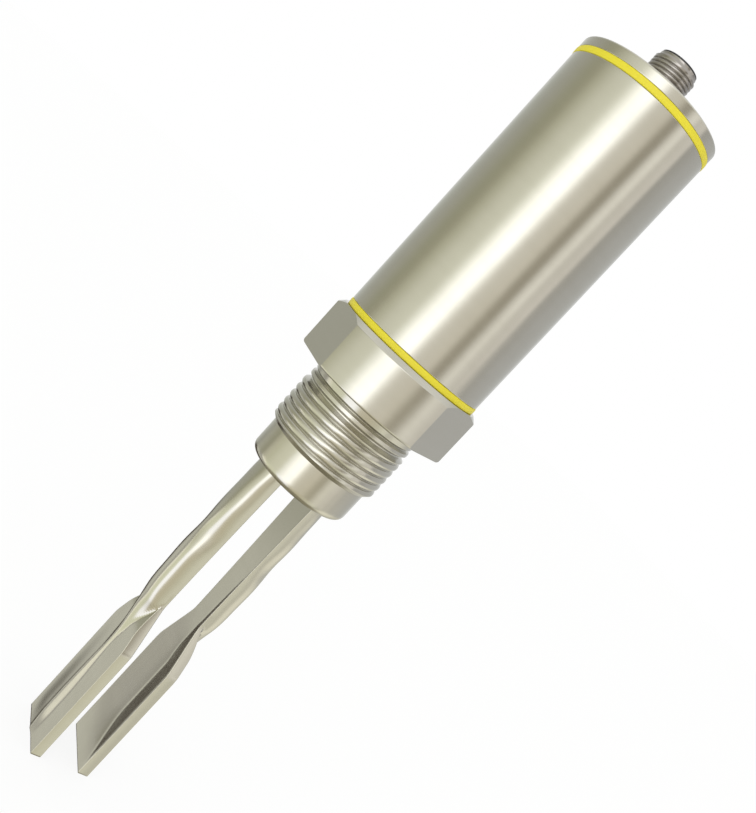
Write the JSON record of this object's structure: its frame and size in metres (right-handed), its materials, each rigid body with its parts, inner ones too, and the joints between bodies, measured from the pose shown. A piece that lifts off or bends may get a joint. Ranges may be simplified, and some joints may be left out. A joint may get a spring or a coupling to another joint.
{
  "type": "tuning fork level switch",
  "caption": "Vibrating tuning fork level switch with a round steel housing, threaded process connection, two flat bladed tines and a round plug connector.",
  "frame": {"origin": "centre of the collar's underside, on the sealing face", "axes": "+Z along the axis towards the plug connector, +X through the right tine"},
  "size_m": [0.0428, 0.046, 0.2352],
  "materials": {
    "housing_steel": "fine turned stainless steel, satin",
    "connection_steel": "turned stainless steel",
    "fork_steel": "forged and ground stainless steel, satin",
    "cap_steel": "turned stainless steel, satin",
    "gasket_rubber": "smooth yellow silicone rubber",
    "seal_rubber": "black rubber",
    "plated_shell": "nickel plated brass",
    "contact_plastic": "black moulded plastic",
    "contact_metal": "gold plated brass",
    "fastener_steel": "plain steel",
    "piezo_ceramic": "fired ceramic",
    "insulator_ceramic": "white fired ceramic",
    "electrode_brass": "rolled brass foil",
    "sleeve_plastic": "white plastic",
    "lead_insulation": "plastic insulation",
    "guide_rubber": "silicone rubber",
    "carrier_plastic": "black moulded plastic",
    "board_laminate": "green laminate",
    "header_plastic": "moulded plastic",
    "ferrite": "ferrite",
    "winding_copper": "enamelled copper",
    "can_aluminium": "drawn aluminium",
    "chip_plastic": "black moulded plastic"
  },
  "bodies": {
    "root": {"process_connection": "connection_steel", "fork_head": "fork_steel", "tine_left": "fork_steel", "tine_right": "fork_steel", "lower_gasket": "gasket_rubber", "upper_gasket": "gasket_rubber", "housing_tube": "housing_steel", "top_cap": "cap_steel", "lower_o_ring": "seal_rubber", "upper_o_ring": "seal_rubber", "connector_o_ring": "seal_rubber", "connector_shell": "plated_shell", "connector_lock_nut": "plated_shell", "contact_carrier": "contact_plastic", "lower_insulator": "insulator_ceramic", "upper_insulator": "insulator_ceramic", "piezo_ring_drive": "piezo_ceramic", "piezo_ring_sense": "piezo_ceramic", "electrode_drive": "electrode_brass", "electrode_common": "electrode_brass", "electrode_sense": "electrode_brass", "insulating_sleeve": "sleeve_plastic", "pressure_washer": "fastener_steel", "disc_spring": "fastener_steel", "stack_nut": "fastener_steel", "stack_bolt": "fastener_steel", "lead_guide": "guide_rubber", "piezo_lead_drive": "lead_insulation", "piezo_lead_common": "lead_insulation", "piezo_lead_sense": "lead_insulation", "board_carrier": "carrier_plastic", "main_board": "board_laminate", "piezo_header": "header_plastic", "connector_header": "header_plastic", "transformer_core": "ferrite", "transformer_winding": "winding_copper", "smoothing_capacitor": "can_aluminium", "output_transistor": "chip_plastic", "processor": "chip_plastic", "crystal": "can_aluminium", "contact_pin_1": "contact_metal", "connector_lead_1": "lead_insulation", "contact_pin_2": "contact_metal", "connector_lead_2": "lead_insulation", "contact_pin_3": "contact_metal", "connector_lead_3": "lead_insulation", "contact_pin_4": "contact_metal", "connector_lead_4": "lead_insulation"}
  },
  "joints": []
}
